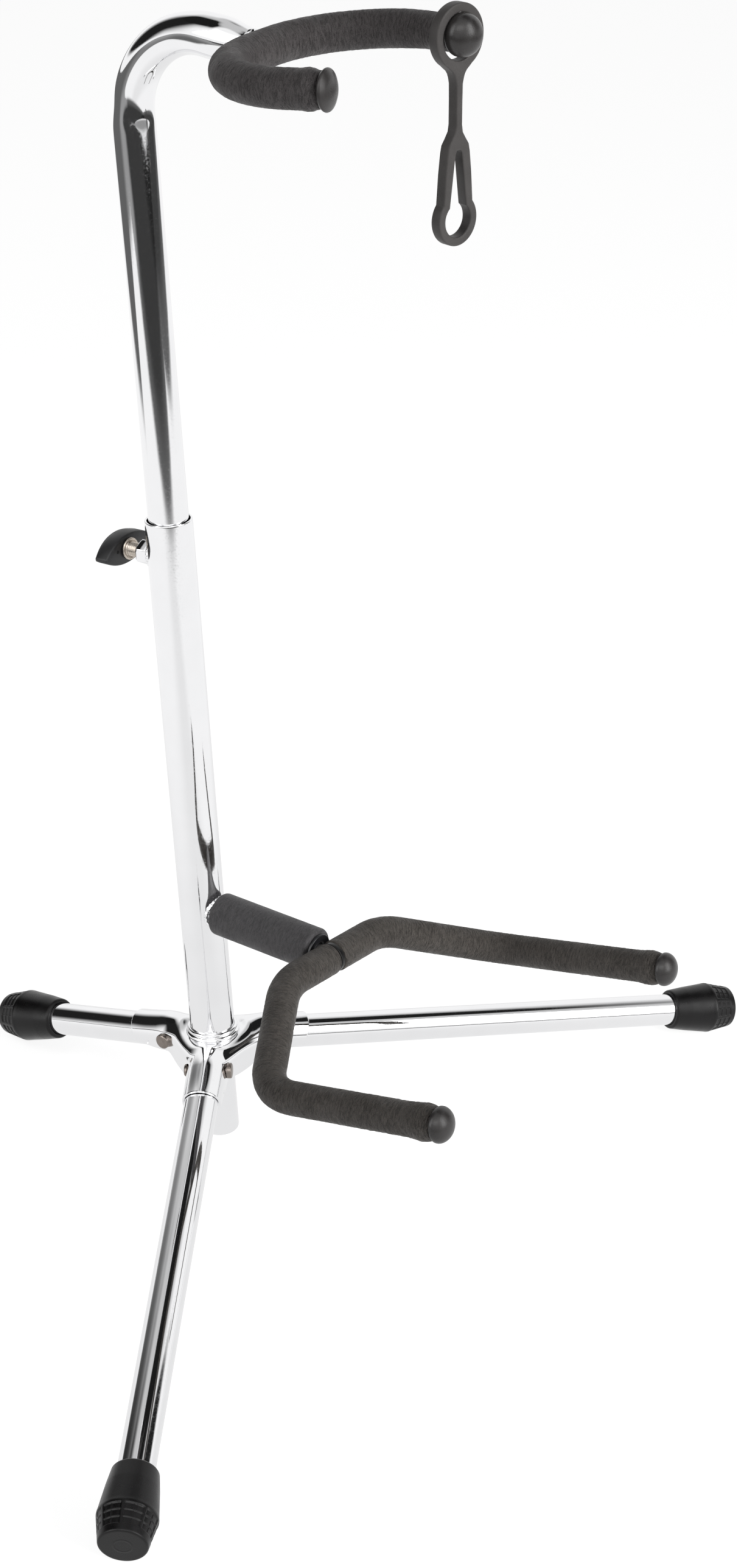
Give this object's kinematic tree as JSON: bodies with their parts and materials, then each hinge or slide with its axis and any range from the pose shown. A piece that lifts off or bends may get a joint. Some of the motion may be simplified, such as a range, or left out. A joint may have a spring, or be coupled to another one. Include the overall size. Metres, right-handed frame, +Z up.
{
  "type": "guitar_stand",
  "caption": "Tubular guitar stand: folding tripod legs, leaning telescopic post, padded swivel cradle for the body and padded neck yoke with a rubber strap",
  "frame": {"origin": "middle of the footprint, on the floor", "axes": "+Z up; -Y to the front, where the guitar rests; +X to the right of someone who stands in front of it and looks along +Y. Metres."},
  "size_m": [0.593, 0.3934, 0.6567],
  "materials": {
    "chrome": "bright chromed steel tube and pressings",
    "nickel": "dull nickel plate with a warm tint",
    "steel": "plain steel rod, covered by the foam",
    "cradle_foam": "closed-cell foam sleeve, matt warm dark grey with fine ring wrinkles",
    "yoke_foam": "closed-cell foam sleeve, matt near-black grey with fine ring wrinkles",
    "stub_foam": "closed-cell foam sleeve, matt charcoal",
    "rubber": "moulded black rubber, matt",
    "black_plastic": "moulded black plastic, satin"
  },
  "bodies": {
    "lower_post": {"lower_post_tube": "chrome", "clamp_nut": "chrome", "hub_bracket": "chrome", "leg_rivet_rear": "nickel", "leg_rivet_left": "nickel", "leg_rivet_right": "nickel", "cradle_stub_tube": "chrome", "stub_foam": "stub_foam", "stub_bush": "black_plastic"},
    "upper_post": {"upper_post_tube": "chrome", "yoke_rod": "steel", "yoke_foam": "yoke_foam", "yoke_cap_left": "rubber", "yoke_cap_right": "rubber"},
    "clamp": {"clamp_screw": "nickel", "clamp_knob": "black_plastic"},
    "strap": {"retaining_strap": "rubber"},
    "cradle": {"cradle_rod": "steel", "cradle_foam_left": "cradle_foam", "cradle_foam_right": "cradle_foam", "cradle_cap_left": "rubber", "cradle_cap_right": "rubber", "cradle_ring": "rubber"},
    "rear_leg": {"leg_tube_rear": "chrome", "rubber_foot_rear": "rubber"},
    "left_leg": {"leg_tube_left": "chrome", "rubber_foot_left": "rubber"},
    "right_leg": {"leg_tube_right": "chrome", "rubber_foot_right": "rubber"}
  },
  "joints": [
    {"name": "height_slide", "type": "slide", "parent": "lower_post", "child": "upper_post", "axis": [0, 0.1167, 0.9932], "range_m": [-0.1, 0.13]},
    {"name": "clamp_turn", "type": "hinge", "parent": "lower_post", "child": "clamp", "pos_m": [0, 0.06956, 0.35585], "axis": [0, 0.9932, -0.1167], "continuous": true},
    {"name": "strap_swing", "type": "hinge", "parent": "upper_post", "child": "strap", "pos_m": [0.05527, -0.05275, 0.64256], "axis": [-0.1906, -0.9759, 0.1066], "range_deg": [-75, 165]},
    {"name": "cradle_swivel", "type": "hinge", "parent": "lower_post", "child": "cradle", "pos_m": [0, 0.0452, 0.14848], "axis": [0, -0.9982, 0.0593], "range_deg": [-90, 90]},
    {"name": "rear_leg_fold", "type": "hinge", "parent": "lower_post", "child": "rear_leg", "pos_m": [0, 0.06225, 0.05508], "axis": [-1, 0, 0], "range_deg": [0, 77]},
    {"name": "left_leg_fold", "type": "hinge", "parent": "lower_post", "child": "left_leg", "pos_m": [-0.0239, 0.02046, 0.05999], "axis": [0.512, -0.8531, 0.1002], "range_deg": [0, 77]},
    {"name": "right_leg_fold", "type": "hinge", "parent": "lower_post", "child": "right_leg", "pos_m": [0.0239, 0.02046, 0.05999], "axis": [0.512, 0.8531, -0.1002], "range_deg": [0, 77]}
  ]
}
